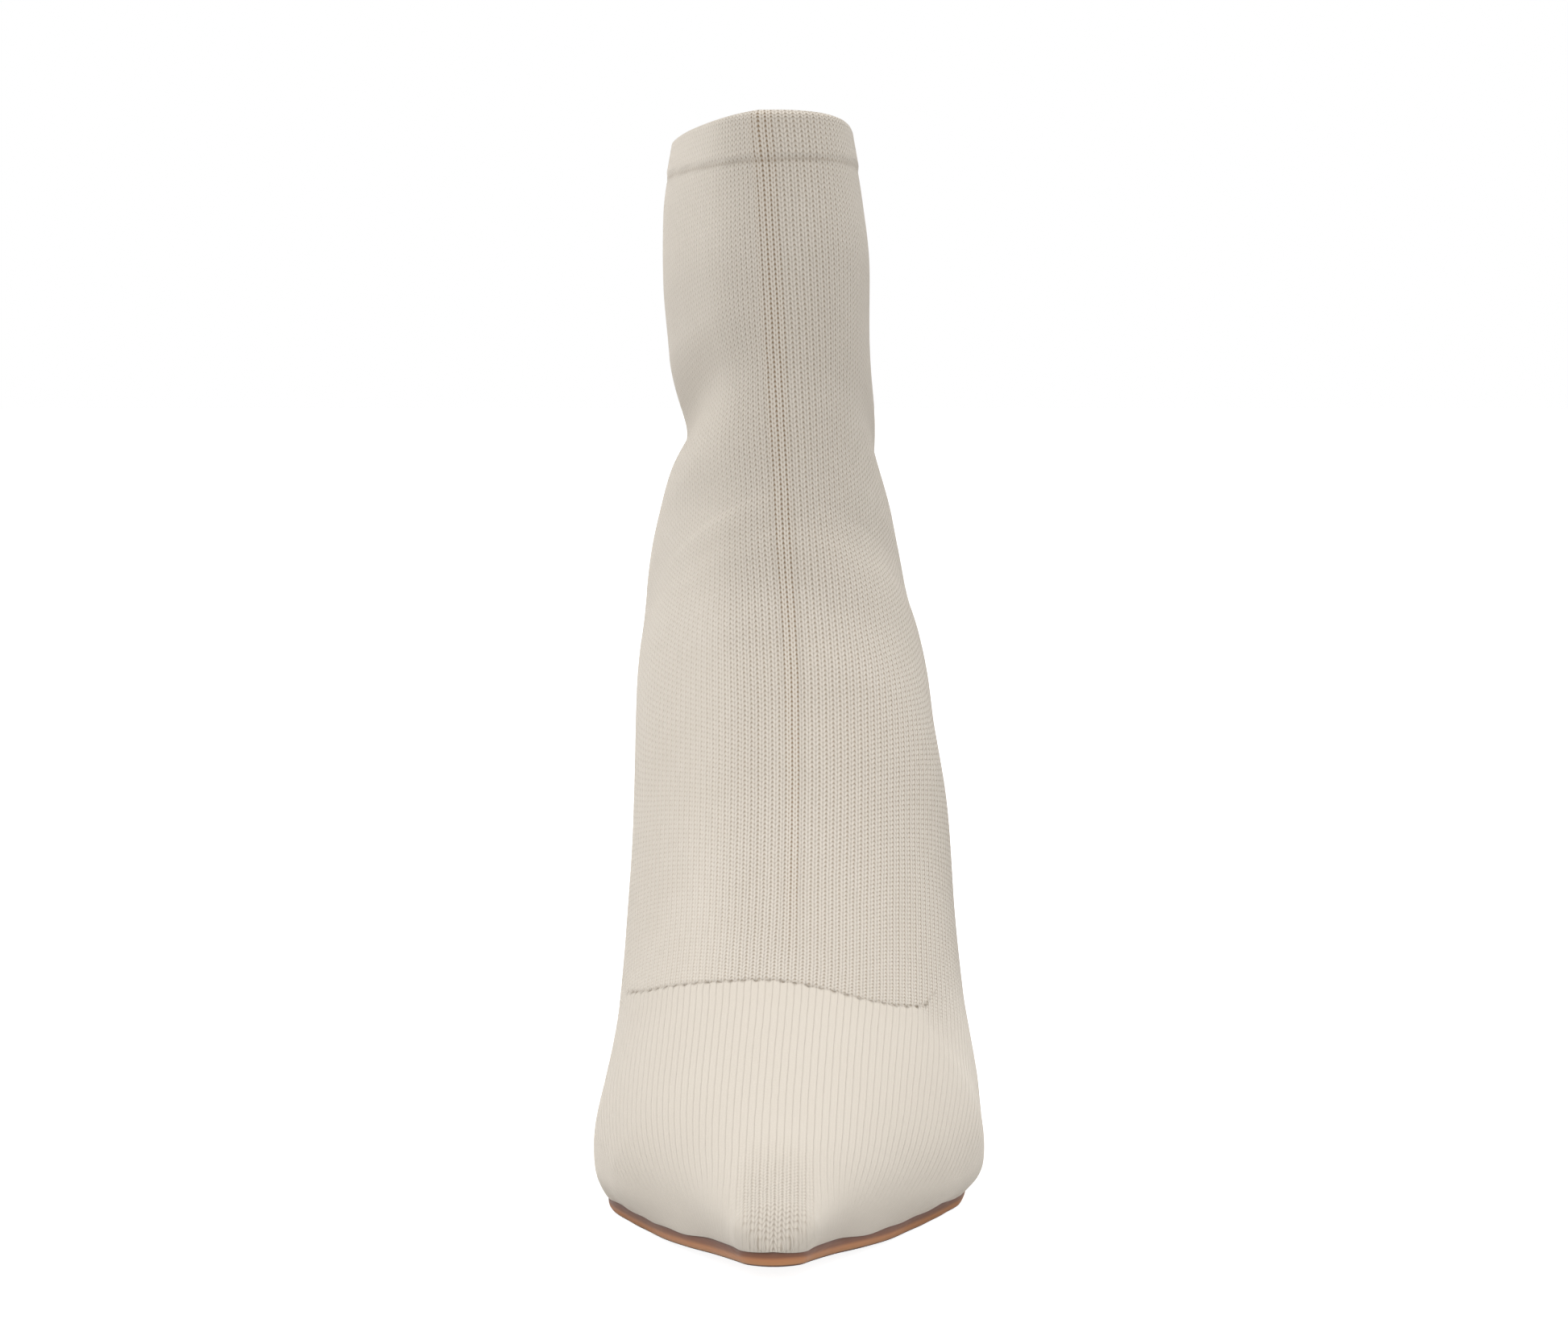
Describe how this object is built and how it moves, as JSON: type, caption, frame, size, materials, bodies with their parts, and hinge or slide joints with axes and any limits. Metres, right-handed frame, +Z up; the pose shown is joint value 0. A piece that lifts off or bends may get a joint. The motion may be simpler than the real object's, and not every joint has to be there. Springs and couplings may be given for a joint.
{
  "type": "sweater boot",
  "caption": "Left pull-on knitted ankle boot with a pointed toe, slack sock shaft, ribbed front, thin outsole and slim high heel.",
  "frame": {"origin": "on the floor, under the middle of the boot's bounding box", "axes": "+Z up, -Y towards the toe, +X towards the outer (little toe) side of this left boot"},
  "size_m": [0.0838, 0.2298, 0.2354],
  "materials": {
    "knit": "cream stocking-stitch knit, matt, slightly fuzzy",
    "lining": "smooth tan textile lining",
    "sole": "tan leather, waxed and burnished at the edge",
    "heel_cover": "cream textile cover, smooth",
    "top_lift": "brown rubber, matt"
  },
  "bodies": {
    "root": {"upper": "knit", "insole": "lining", "outsole": "sole", "heel": "heel_cover", "heel_tip": "top_lift"}
  },
  "joints": []
}
